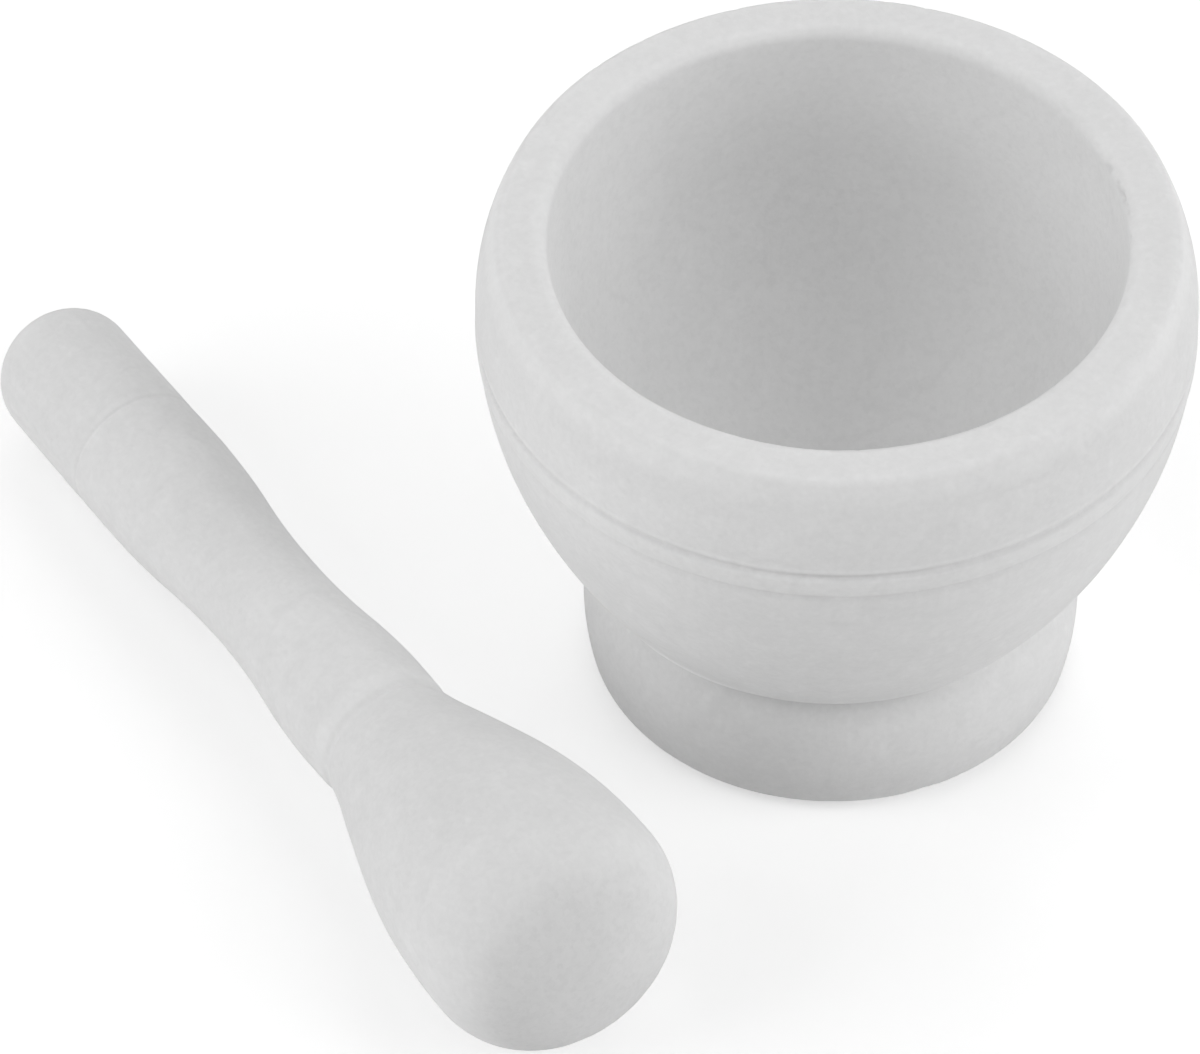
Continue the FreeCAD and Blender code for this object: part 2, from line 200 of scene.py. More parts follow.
class Profile:
    """A polyline resampled by length: fine near the places listed, coarse elsewhere.

    coarse is a pitch or a function of radius and height; a place is ((radius, height), reach, pitch).
    """

    SAMPLES = 20000
    FADE = 4.0  # length over which a fine pitch gives way to the coarse one
    NORMAL_REACH = 0.06  # the slope is taken between points this far either side

    def __init__(self, points, coarse, places=()):
        keep = np.r_[True, np.hypot(*np.diff(points, axis=0).T) > 1e-6]
        self._source = points[keep]
        self._lengths = np.r_[0, np.cumsum(np.hypot(*np.diff(self._source, axis=0).T))]
        samples = np.linspace(0, self._lengths[-1], self.SAMPLES)
        pitch = coarse(*self._points(samples).T) if callable(coarse) else coarse
        pitch = np.full(self.SAMPLES, pitch)
        for where, reach, fine in places:
            distance = np.abs(samples - self.at(where))
            blend = np.clip((distance - reach) / self.FADE, 0, 1)
            pitch = np.minimum(pitch, fine + (pitch - fine) * blend)
        rings = np.r_[0, np.cumsum((samples[1] - samples[0]) / pitch[:-1])]
        count = int(math.ceil(rings[-1]))
        self.along = np.interp(np.linspace(0, rings[-1], count + 1), rings, samples)
        self.points = self._points(self.along)
        self.points[np.abs(self.points[:, 0]) < 1e-4, 0] = 0.0
        slope = self._points(self.along + self.NORMAL_REACH)
        slope -= self._points(self.along - self.NORMAL_REACH)
        slope /= np.maximum(np.hypot(slope[:, 0], slope[:, 1]), 1e-9)[:, None]
        # outward, for a profile that runs with the solid on its left
        self.normal = np.column_stack([slope[:, 1], -slope[:, 0]])

    def _points(self, along):
        return np.column_stack(
            [np.interp(along, self._lengths, self._source[:, k]) for k in (0, 1)]
        )

    def at(self, where):
        """Length along the profile of the point nearest to (radius, height)."""
        return self._lengths[nearest_index(self._source, where)]

    def at_height(self, height):
        """Length along the profile where it first crosses that height going up."""
        z = self._source[:, 1]
        i = np.flatnonzero((z[:-1] <= height) & (z[1:] > height))[0]
        share = (height - z[i]) / (z[i + 1] - z[i])
        return self._lengths[i] + share * (self._lengths[i + 1] - self._lengths[i])


# ---------------------------------------------------------------- working a turned surface


def smooth(values, low, high):
    """0 up to low, 1 from high, eased between."""
    share = np.clip((values - low) / (high - low), 0, 1)
    return share * share * (3 - 2 * share)


def bell(values, middle, half, peak=1.0):
    """peak at the middle, 0 beyond half either side, eased at both."""
    share = np.clip(np.abs(values - middle) / half, 0, 1)
    return peak * (1 - share * share) ** 2


def fractal(points, scale, octaves, seed):
    """Smooth noise in about -1 to 1 at those millimetre points, one value for each."""
    gain, lacunarity, spread = 0.55, 2.03, 1.7
    out = np.zeros(len(points))
    shift = Vector((seed * 17.3 + 3.1, seed * 5.7 - 8.2, seed * 11.9 + 1.7))
    amplitude, frequency, total = 1.0, 1.0 / scale, 0.0
    for _ in range(octaves):
        values = (noise.noise(Vector(point) + shift) for point in points * frequency)
        out += amplitude * np.fromiter(values, float, len(points))
        total += amplitude
        amplitude *= gain
        frequency *= lacunarity
    return out / total * spread


class Turned:
    """A turned surface, with one value in each array for each vertex, ring by ring.

    push is how far the vertex is moved outward; facing is its angle in degrees from local +X.
    """

    def __init__(self, profile, segments):
        self.profile, self.segments = profile, segments
        rings = len(profile.along)
        ring = np.repeat(np.arange(rings), segments)
        turns = np.linspace(0, 2 * math.pi, segments, endpoint=False)
        self.angle = np.tile(turns, rings)
        self.facing = (np.degrees(self.angle) + 180.0) % 360.0 - 180.0
        self.along = profile.along[ring]
        self.radius, self.z = profile.points[ring].T
        self.normal_r, self.normal_z = profile.normal[ring].T
        self.push = np.zeros(len(ring))
        self.rest = self.positions()

    def positions(self):
        radius = self.radius + self.normal_r * self.push
        z = self.z + self.normal_z * self.push
        return np.column_stack([radius * np.cos(self.angle), radius * np.sin(self.angle), z])

    def around(self, angle):
        """Signed length round the ring from that angle, at each vertex."""
        turn = (self.angle - angle + math.pi) % (2 * math.pi) - math.pi
        return turn * self.radius

    def mesh(self, name, place, attributes):
        """Builds the object; place maps local metres to the frame. A ring on the axis is one vertex."""
        rings, count = len(self.profile.along), self.segments
        pole = self.profile.points[:, 0] < 1e-6
        index = np.zeros((rings, count), int)
        keep = []
        for j in range(rings):
            size = 1 if pole[j] else count
            index[j] = len(keep) + np.arange(count) % size
            keep.extend(range(j * count, j * count + size))
        faces = []
        for j in range(rings - 1):
            low, high = index[j], index[j + 1]
            low_next, high_next = np.roll(low, -1), np.roll(high, -1)
            if pole[j]:
                corners = (low, high_next, high)
            elif pole[j + 1]:
                corners = (low, low_next, high)
            else:
                corners = (low, low_next, high_next, high)
            faces.extend(zip(*(corner.tolist() for corner in corners)))
        points = self.positions()[keep]
        world_points = np.array([place @ Vector(point) for point in points * MM])
        mesh = bpy.data.meshes.new(name)
        mesh.from_pydata(world_points.tolist(), [], faces)
        mesh.update()
        mesh.shade_smooth()
        local = mesh.attributes.new("loc", "FLOAT_VECTOR", "POINT")
        local.data.foreach_set("vector", points.astype(np.float32).ravel())
        for key, values in attributes.items():
            layer = mesh.attributes.new(key, "FLOAT", "POINT")
            layer.data.foreach_set("value", np.asarray(values, np.float32)[keep])
        piece = bpy.data.objects.new(name, mesh)
        bpy.context.scene.collection.objects.link(piece)
        return piece


def chips(turned, edge, count, size, depth, cluster, reach, stray=0.35):
    """Sinks small ragged losses along an edge and returns how chipped each vertex is.

    edge is a length along the profile; size (half the chip's length) and depth are ranges. cluster is
    the mean and spread in degrees of where chips gather, all but a stray share, or None for all round.
    """
    hurt = np.zeros(len(turned.along))
    offset = turned.along - edge
    near = np.abs(offset) < reach * 2.2
    for _ in range(count):
        if cluster is None or RNG.random() < stray:
            angle = RNG.uniform(-math.pi, math.pi)
        else:
            angle = RNG.normal(*np.radians(cluster))
        half = RNG.uniform(*size)
        deep = RNG.uniform(*depth)
        shift = RNG.uniform(-0.45, 0.45) * reach
        tall = reach * RNG.uniform(0.5, 1.0)
        around = turned.around(angle)
        inside = near & (np.abs(around) < half)
        if not inside.any():
            continue
        around = around[inside]
        ragged = 1 + 0.35 * np.sin(around * RNG.uniform(2.0, 4.5) + RNG.uniform(0, 6.3))
        bite = bell(around, 0.0, half) * bell(offset[inside], shift, tall * ragged)
        turned.push[inside] -= deep * bite
        hurt[inside] = np.maximum(hurt[inside], bite)
    return hurt


# ---------------------------------------------------------------- where the CAD stands


def turned_axis(node):
    """The lighter end of a turned CAD solid, on its axis, and the axis direction to the heavier end."""
    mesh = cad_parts[node].data
    mesh.calc_loop_triangles()
    points = np.zeros(len(mesh.vertices) * 3)
    mesh.vertices.foreach_get("co", points)
    points = points.reshape(-1, 3)
    index = np.zeros(len(mesh.loop_triangles) * 3, int)
    mesh.loop_triangles.foreach_get("vertices", index)
    corners = points[index.reshape(-1, 3)]

    def six_volumes():
        """Six times the signed volume of each triangle's tetrahedron to the origin."""
        return np.einsum("ij,ij->i", corners[:, 0], np.cross(corners[:, 1], corners[:, 2]))

    six = six_volumes()
    centre = (corners.sum(1) * six[:, None]).sum(0) / 24 / (six.sum() / 6)
    corners = corners - centre
    six = six_volumes()
    vectors = (*corners.transpose(1, 0, 2), corners.sum(1))
    second = sum(np.einsum("i,ij,ik->jk", six, v, v) for v in vectors) / 120
    moments, axes = np.linalg.eigh(second)
    axis = axes[:, int(np.argmax(moments))]
    along = (points - centre) @ axis
    if -along.min() < along.max():  # the heavier end is the one nearer the centre of mass
        axis, along = -axis, -along
    return Vector(centre + axis * along.min()), Vector(axis)


mortar_lo, mortar_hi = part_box("mortar")
FLOOR_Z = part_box("base_pad")[0].z
mortar_foot = Vector(
    ((mortar_lo.x + mortar_hi.x) / 2, (mortar_lo.y + mortar_hi.y) / 2, mortar_lo.z)
)
MORTAR_PLACE = Matrix.Translation(mortar_foot)
PAD_PLACE = Matrix.Translation(Vector((mortar_foot.x, mortar_foot.y, FLOOR_Z)))
pestle_end, pestle_axis = turned_axis("pestle")
pestle_side = pestle_axis.cross(Vector((0, 0, 1))).normalized()
# local x points to the pestle's upper side as it lies, so what is put at angle 0 is seen
pestle_up = pestle_side.cross(pestle_axis).normalized()
pestle_turn = Matrix((pestle_up, pestle_axis.cross(pestle_up), pestle_axis)).transposed()
PESTLE_PLACE = Matrix.Translation(pestle_end) @ pestle_turn.to_4x4()


# ---------------------------------------------------------------- materials


class Nodes:
    """Short names for building a node tree. Inputs are values or the sockets to link."""

    def __init__(self, tree):
        self.tree = tree
        tree.nodes.clear()
        self.column = 0

    def add(self, kind, inputs=None, **settings):
        node = self.tree.nodes.new(kind)
        node.location = (self.column * 190, -220 * (len(self.tree.nodes) % 7))
        self.column += 0.35
        for key, value in settings.items():
            setattr(node, key, value)
        self.fill(node, inputs or {})
        return node

    def fill(self, node, inputs):
        for key, value in inputs.items():
            if isinstance(value, bpy.types.NodeSocket):
                self.tree.links.new(value, node.inputs[key])
            else:
                node.inputs[key].default_value = value

    def math(self, operation, first, second=0.0, third=0.0, clamp=False):
        inputs = {0: first, 1: second, 2: third}
        return self.add("ShaderNodeMath", inputs, operation=operation, use_clamp=clamp).outputs[0]

    def times(self, value, by, clamp=False):
        return self.math("MULTIPLY", value, by, clamp=clamp)

    def scale_add(self, value, by, plus):
        return self.math("MULTIPLY_ADD", value, by, plus)

    def centred(self, value, amount):
        """Noise in 0..1 turned to -amount..amount about its middle."""
        return self.scale_add(value, by=2 * amount, plus=-amount)

    def total(self, *values):
        out = values[0]
        for value in values[1:]:
            out = self.math("ADD", out, value)
        return out

    def vector(self, operation, first, second):
        inputs = {0: first, "Scale" if operation == "SCALE" else 1: second}
        node = self.add("ShaderNodeVectorMath", inputs, operation=operation)
        return node.outputs[1 if operation == "DOT_PRODUCT" else 0]

    def noise(self, where, scale, detail, roughness):
        inputs = {"Vector": where, "Scale": scale, "Detail": detail, "Roughness": roughness}
        return self.add("ShaderNodeTexNoise", inputs).outputs["Fac"]

    def cells(self, where, scale, output="Distance"):
        return self.add("ShaderNodeTexVoronoi", {"Vector": where, "Scale": scale}).outputs[output]

    def ramp(self, value, low, high, to_low=0.0, to_high=1.0):
        inputs = {
            "Value": value, "From Min": low, "From Max": high, "To Min": to_low, "To Max": to_high,
        }
        node = self.add("ShaderNodeMapRange", inputs, interpolation_type="SMOOTHSTEP")
        return node.outputs["Result"]

    def attribute(self, name, output="Fac"):
        return self.add("ShaderNodeAttribute", attribute_name=name).outputs[output]

    def grey(self, value):
        node = self.add("ShaderNodeCombineColor", {0: value, 1: value, 2: value})
        return node.outputs["Color"]

    def split_camera(self, path, hidden, seen, out):
        """Camera rays get the seen shader, all others the hidden one."""
        inputs = {0: path.outputs["Is Camera Ray"], 1: hidden.outputs[0], 2: seen.outputs[0]}
        mix = self.add("ShaderNodeMixShader", inputs)
        self.fill(out, {"Surface": mix.outputs[0]})


def principled(name):
    """A new material, its nodes and its Principled shader, joined to the output."""
    material = bpy.data.materials.new(name)
    material.use_nodes = True
    tree = Nodes(material.node_tree)
    out = tree.add("ShaderNodeOutputMaterial")
    bsdf = tree.add("ShaderNodeBsdfPrincipled")
    tree.fill(out, {"Surface": bsdf.outputs["BSDF"]})
    return material, tree, bsdf


STONE_TONE = 0.84


def marble(name, shift):
    """Fine-grained white marble, honed; shift moves the pattern through the stone.

    loc is the piece's own millimetre frame; ground faces, wear with painted highlights, painted shade in
    creases, and painted shade with some dirt are painted on the mesh.
    """
    material, tree, bsdf = principled(name)
    loc = tree.vector("ADD", tree.attribute("loc", "Vector"), shift)
    ground, wear_and_highlight, crease_shade, shade_and_soil = (tree.attribute(k) for k in ("ground", "wear_and_highlight", "crease_shade", "shade_and_soil"))

    def less_if_ground(value):
        return tree.times(value, tree.scale_add(ground, by=-0.45, plus=1.0))

    # the stone: cloudy patches, thin smoky veins, and the sugary crystals
    swirl = tree.add("ShaderNodeTexNoise", {"Vector": loc, "Scale": 0.03, "Detail": 1.0})
    swirl = tree.vector("SUBTRACT", swirl.outputs["Color"], (0.5, 0.5, 0.5))
    bent = tree.vector("ADD", loc, tree.vector("SCALE", swirl, 22.0))  # bent by millimetres
    cloud = tree.noise(bent, scale=0.055, detail=2.0, roughness=0.55)
    patch = tree.noise(loc, scale=0.28, detail=2.0, roughness=0.6)
    band = tree.noise(bent, scale=0.035, detail=3.0, roughness=0.62)
    band = tree.math("ABSOLUTE", tree.math("SUBTRACT", band, 0.5))
    vein = tree.times(
        tree.ramp(band, low=0.0, high=0.03, to_low=1.0, to_high=0.0),
        tree.ramp(cloud, low=0.42, high=0.62),
    )
    crystal = tree.vector("DOT_PRODUCT", tree.cells(loc, 1.35, "Color"), (1.0, 0.0, 0.0))
    crystal = tree.times(crystal, by=1.0)  # strength of the crystals
    sugar = tree.noise(loc, scale=1.1, detail=2.0, roughness=0.65)
    # faint streaks along the piece's axis, in patches away from the ground faces
    stretched = tree.vector("MULTIPLY", loc, (0.85, 0.85, 0.07))
    streak = tree.noise(stretched, scale=1.0, detail=1.0, roughness=0.5)
    drawn = tree.times(
        tree.ramp(patch, low=0.48, high=0.62), tree.math("SUBTRACT", 1.0, ground)
    )
    # brightness, as a share of the stone's tone
    tones = tree.total(
        1.0,
        tree.centred(cloud, amount=0.04),
        less_if_ground(tree.centred(patch, amount=0.032)),
        tree.times(vein, by=-0.022),
        tree.centred(crystal, amount=0.012),
        less_if_ground(tree.centred(sugar, amount=0.038)),
        tree.times(tree.centred(streak, amount=0.035), drawn),
        # real wear and painted highlights brighten; painted shade in the creases, and painted shade with
        # some real dirt, darken
        tree.times(wear_and_highlight, by=0.04),
        tree.times(crease_shade, by=-0.025),
        tree.times(shade_and_soil, by=-0.1),
    )
    # the ground faces' pits are a little darker
    pecked = tree.noise(loc, scale=0.8, detail=2.0, roughness=0.7)
    pits = tree.times(tree.ramp(pecked, low=0.38, high=0.5, to_low=1.0, to_high=0.0), ground)
    tones = tree.times(tones, tree.scale_add(pits, by=-0.02, plus=1.0))
    tree.fill(bsdf, {"Base Color": tree.grey(tree.times(tones, STONE_TONE, clamp=True))})
    # finish: honed outside, rougher where it is ground or in the shaded creases, smoother where it is
    # worn or carries a painted highlight
    rough = tree.total(
        0.6,
        tree.centred(patch, amount=0.07),
        tree.centred(sugar, amount=0.05),
        tree.times(ground, by=0.17),
        tree.times(wear_and_highlight, by=-0.08),
        tree.times(crease_shade, by=0.1),
    )
    tree.fill(bsdf, {
        "Roughness": tree.math("MINIMUM", rough, 0.95),
        "Specular IOR Level": 0.3,
        "IOR": 1.5,
        "Subsurface Weight": 0.12,
        "Subsurface Radius": (1.0, 1.0, 1.0),
        "Subsurface Scale": 0.0012,
    })
    # relief in millimetres: grain everywhere, the streaks, and pecked pits on the ground faces
    grain = tree.noise(loc, scale=2.1, detail=1.0, roughness=0.6)
    height = tree.total(
        tree.times(grain, by=0.015),
        tree.times(tree.times(streak, drawn), by=0.012),
        tree.times(tree.times(pecked, by=0.017), ground),
    )
    bump = tree.add("ShaderNodeBump", {"Strength": 1.0, "Distance": MM, "Height": height})
    tree.fill(bsdf, {"Normal": bump.outputs["Normal"]})
    return material


def foam(name):
    """Dark closed-cell foam, with pale lint, for the pad under the foot."""
    material, tree, bsdf = principled(name)
    loc = tree.attribute("loc", "Vector")
    cell = tree.cells(loc, scale=2.6)
    blotch = tree.noise(loc, scale=0.25, detail=3.0, roughness=0.6)
    fibres = tree.vector("MULTIPLY", loc, (0.5, 3.0, 1.0))
    lint = tree.noise(fibres, scale=1.0, detail=3.0, roughness=0.7)
    lint = tree.ramp(lint, low=0.62, high=0.78)
    value = tree.total(
        0.022,
        tree.times(cell, by=0.03),
        tree.centred(blotch, amount=0.008),
        tree.times(lint, by=0.035),
    )
    tree.fill(bsdf, {
        "Base Color": tree.grey(value),
        "Roughness": tree.scale_add(blotch, by=0.2, plus=0.75),
        "Specular IOR Level": 0.3,
    })
    height = tree.math("ADD", cell, tree.times(blotch, by=0.5))
    bump = tree.add("ShaderNodeBump", {"Distance": 0.12 * MM, "Height": height})
    tree.fill(bsdf, {"Normal": bump.outputs["Normal"]})
    return material


# ---------------------------------------------------------------- the mortar


def mortar_outline():
    floor = arc(BOWL_CENTRE, BOWL_FLOOR_EDGE, "axis", count=10)[::-1]
    points = outline((0.0, 0.0), MORTAR_OUTSIDE)
    bowl = outline(RIM_IN, MORTAR_BOWL)
    points = np.vstack([points, bowl[1:], floor[1:], [BOWL_CENTRE]])
    for corner, radius, _, _ in MORTAR_EDGES:
        points = rounded(points, corner, radius)
    return points


def mortar_pitch(radius, height):
    """Coarse pitch: wide under the foot."""
    return np.where((height < 0.5) & (radius < 32), 4.0, 1.15)


def mortar_profile():
    """The mortar's profile, fine at its edges and at the scored lines."""
    points = mortar_outline()
    places = [(corner, reach, pitch) for corner, _, reach, pitch in MORTAR_EDGES]
    rough = Profile(points, 2.0)
    for height in SCORES:
        nearest = int(np.argmin(np.abs(rough.along - rough.at_height(height))))
        wall = rough.points[: nearest + 6]
        places.append(((np.interp(height, wall[:, 1], wall[:, 0]), height), 1.0, 0.12))
    return Profile(points, mortar_pitch, places)


def cut_scores(mortar, outer_wall):
    """Cuts the two scored lines and the bead; returns the painted shade in the lines and the painted
    highlights beside them.
    """
    step, blur = 0.02, 0.08
    heights = np.arange(54.0, 68.0, step)
    shape = np.interp(heights, *zip(*SCORE_SHAPE))
    kernel = np.exp(-0.5 * (np.arange(-15, 16) * step / blur) ** 2)
    shape = np.convolve(shape, kernel / kernel.sum(), "same")
    # their height and depth drift a little round the bowl, each line in its own way
    upper = smooth(mortar.z, low=60.2, high=61.2)
    angle = mortar.angle
    drift, gain = 0.0, 1.0
    for k, share in enumerate((upper, 1 - upper)):
        drift += share * (0.08 * np.sin(angle * (2 + k) + 1.3 * k) + 0.05 * np.sin(angle * 5 + k))
        gain += share * (0.10 * np.sin(angle * 3 + 2.1 * k) + 0.06 * np.sin(angle * 11 + k))
    # the lower line is shallower at the front left
    gain = gain * (1 - (1 - upper) * bell(mortar.facing, middle=-142.0, half=42.0, peak=0.55))
    height = mortar.z - drift
    mortar.push += outer_wall * gain * np.interp(height, heights, shape)
    # painted shade in the two scored lines
    crease_shade = outer_wall * gain * np.maximum(
        bell(height, middle=62.85, half=0.95, peak=2.0),
        bell(height, middle=58.4, half=1.25, peak=1.8) * (height < 59.05),
    )
    # painted highlights on the upper lip, the bead's face and the bead's lower edge
    wear_and_highlight = outer_wall * np.maximum.reduce([
        bell(height, middle=64.1, half=0.5, peak=0.75),
        bell(height, middle=60.9, half=1.9, peak=0.55),
        bell(height, middle=59.5, half=0.5, peak=0.6),
    ])
    return crease_shade, wear_and_highlight


def mortar_darkening(mortar, outer_wall, ledge, rim_in):
    """Darker colour low and high on the foot, on the wall and in the bowl: painted shade on the foot and
    the wall, and darker high in the bowl.
    """
    z, facing = mortar.z, mortar.facing
    # painted shade low on the foot, near the floor
    foot = (mortar.along < ledge - 0.2) * (
        0.33 * smooth(z, low=0.0, high=0.3) * (1 - smooth(z, low=4.0, high=9.0))
        # painted shade under the wall, most of it at the front
        + smooth(z, low=15.0, high=19.3) * (0.12 + bell(facing, middle=-78.0, half=52.0, peak=0.5))
    )
    # painted shade in a soft cloud-shaped patch on the wall, front right
    cloud = bell(facing, middle=-38.0, half=26.0, peak=0.38) * bell(z, middle=34.0, half=13.0)
    # high in the bowl, on the right and on the left
    right = bell(facing, middle=8.0, half=55.0, peak=0.24) * smooth(z, low=50.0, high=60.0)
    left = bell(np.abs(facing), middle=172.0, half=40.0, peak=0.16)
    left = left * smooth(z, low=44.0, high=54.0)
    return foot + outer_wall * cloud + (mortar.along > rim_in + 1.0) * (right + left)


def build_mortar():
    profile = mortar_profile()
    mortar = Turned(profile, segments=384)
    along, z, facing = mortar.along, mortar.z, mortar.facing
    rim_in, rim_out, ledge, neck, foot = (
        profile.at(corner) for corner in (RIM_IN, RIM_OUT, LEDGE, NECK, FOOT)
    )
    inside = smooth(along, low=rim_in - 0.5, high=rim_in + 2.5)
    outer_wall = (along > ledge + 2.0) & (along < rim_out - 2.0)
    crease_shade, wear_and_highlight = cut_scores(mortar, outer_wall)

    # the wall's lower edge carries a thin burr, larger at the front left, where the ledge also gets a
    # painted highlight below
    burr_and_highlight = bell(facing, middle=-128.0, half=34.0)
    mortar.push += bell(along, middle=ledge + 0.25, half=0.6, peak=0.05)
    mortar.push += burr_and_highlight * bell(along, middle=ledge + 0.75, half=0.85, peak=0.30)
    front_dip = bell(facing, middle=-92.0, half=26.0, peak=0.65)
    high_in_bowl = (along > rim_in) * smooth(z, low=55.0, high=71.0)
    wear_and_highlight = np.maximum.reduce([
        wear_and_highlight,
        bell(along, middle=rim_in, half=2.2, peak=0.7),
        bell(along, middle=foot, half=1.4, peak=0.7),
        # painted highlight on the outer rim's shoulder, less at the front
        bell(along, middle=rim_out - 1.6, half=3.4, peak=1.45 - front_dip),
        # painted highlight along the ledge, strongest at the front left
        bell(along, middle=ledge + 0.5 + 0.35 * burr_and_highlight, half=1.0, peak=0.9 + 2.2 * burr_and_highlight),
        # painted light on the bowl's upper wall at the back, which is also smoother there
        high_in_bowl * bell(facing, middle=106.0, half=56.0, peak=1.5),
    ])
    # painted shade in the neck under the ledge, all round but the front left
    open_neck = 1 - bell(facing, middle=-150.0, half=55.0)
    crease_shade = np.maximum(crease_shade, open_neck * bell(along, middle=neck, half=1.6, peak=0.8))
    # painted shade on the foot and the wall, and darker high in the bowl; dirt in the chips is added
    # below
    shade_and_soil = mortar_darkening(mortar, outer_wall, ledge, rim_in)

    # unevenness left by turning and rubbing down, fading out under the foot, and the ground bowl
    body = 0.07 * fractal(mortar.rest, scale=26.0, octaves=2, seed=1.0)
    body += 0.022 * fractal(mortar.rest, scale=7.0, octaves=2, seed=2.0)
    mortar.push += body * smooth(z, low=0.2, high=3.0) * smooth(mortar.radius, low=0.0, high=8.0)
    pecks = fractal(mortar.rest, scale=3.2, octaves=3, seed=3.0)
    pecked = 0.016 * pecks - 0.018 * smooth(-pecks, low=0.35, high=0.9)
    mortar.push += inside * smooth(mortar.radius, low=0.0, high=6.0) * pecked

    # one row of chips on the right of the mouth has kept its dirt
    row = chips(
        mortar, rim_in + 0.6, count=20, size=(0.5, 1.1), depth=(0.05, 0.15),
        cluster=(16, 5), reach=0.7, stray=0.0,
    )
    shade_and_soil = shade_and_soil + 0.9 * row
    # edge, count, size, depth, cluster, reach
    losses = [
        (rim_in, 24, (0.5, 1.6), (0.05, 0.13), (-50, 40), 0.8),
        (rim_out, 22, (0.6, 1.8), (0.04, 0.12), None, 0.9),
        (ledge, 26, (0.6, 2.0), (0.06, 0.20), None, 0.5),
        (foot, 16, (0.8, 2.4), (0.06, 0.22), None, 0.8),
    ]
    for height in (63.7, 62.4, 59.3):  # the lips of the scored lines
        losses.append((profile.at_height(height), 26, (0.5, 1.9), (0.03, 0.12), None, 0.4))
    hurt = np.maximum.reduce([chips(mortar, *loss) for loss in losses])
    wear_and_highlight = np.maximum(wear_and_highlight, hurt * 0.8) * (1 - 0.8 * row)
    ground = np.maximum(inside, 0.6 * np.maximum(hurt, row))
    # besides ground faces, real wear, chips and dirt, these carry the painted highlights and painted
    # shade
    painted = {"ground": ground, "wear_and_highlight": wear_and_highlight, "crease_shade": crease_shade, "shade_and_soil": shade_and_soil}
    return mortar.mesh("marble_mortar", MORTAR_PLACE, painted)


# ---------------------------------------------------------------- the pestle


def cut_pestle_lines(pestle, ring, collar):
    """Cuts the ring and the collar, with a slight drift round the pestle; returns the painted shade in
    them.
    """
    angle = pestle.angle
    crease_shade = np.zeros(len(angle))
    # length along the profile, depth, half width, phase of the drift
    for line, depth, half, phase in ((ring, 0.11, 0.5, 0.4), (collar, 0.16, 1.2, 1.9)):
        drift = 0.05 * np.sin(angle * 2 + phase) + 0.03 * np.sin(angle * 5 + phase)
        depth = depth * (1 + 0.12 * np.sin(angle * 3 + phase))
        pestle.push -= bell(pestle.along, middle=line + drift, half=half, peak=depth)
        # painted shade in the lines
        crease_shade = np.maximum(crease_shade, bell(pestle.along, middle=line + drift, half=half * 0.85))
    return crease_shade * (0.75 + 0.35 * np.sin(angle * 2.0 + 0.8) * np.sin(angle * 5.0))


def pestle_darkening(pestle, face_edge):
    """Darker colour on the head, the pounding face, the thin end and parts of the handle: painted shade
    on the head and the pounding face, elsewhere only darker.
    """
    z, facing = pestle.z, pestle.facing
    # painted shade on the head, from the collar, fading towards the face
    head = 0.2 * smooth(z, low=99.8, high=101.5) * (1 - 0.75 * smooth(z, low=106.0, high=126.0))
    # painted shade on the pounding face, less on one side
    face = 0.56 * smooth(face_edge, low=148.5, high=152.8)
    face = face * (1 - bell(facing, middle=-72.0, half=80.0, peak=0.6))
    # darker at the thin end, along the handle's upper side and beside the ring
    end = 0.6 * (1 - smooth(z, low=1.6, high=3.4))
    handle = bell(z, middle=62.0, half=24.0, peak=0.15) * bell(facing, middle=0.0, half=50.0)
    near_ring = bell(z, middle=32.0, half=9.0, peak=0.5) * bell(facing, middle=-75.0, half=32.0)
    return head + face + end + handle + near_ring


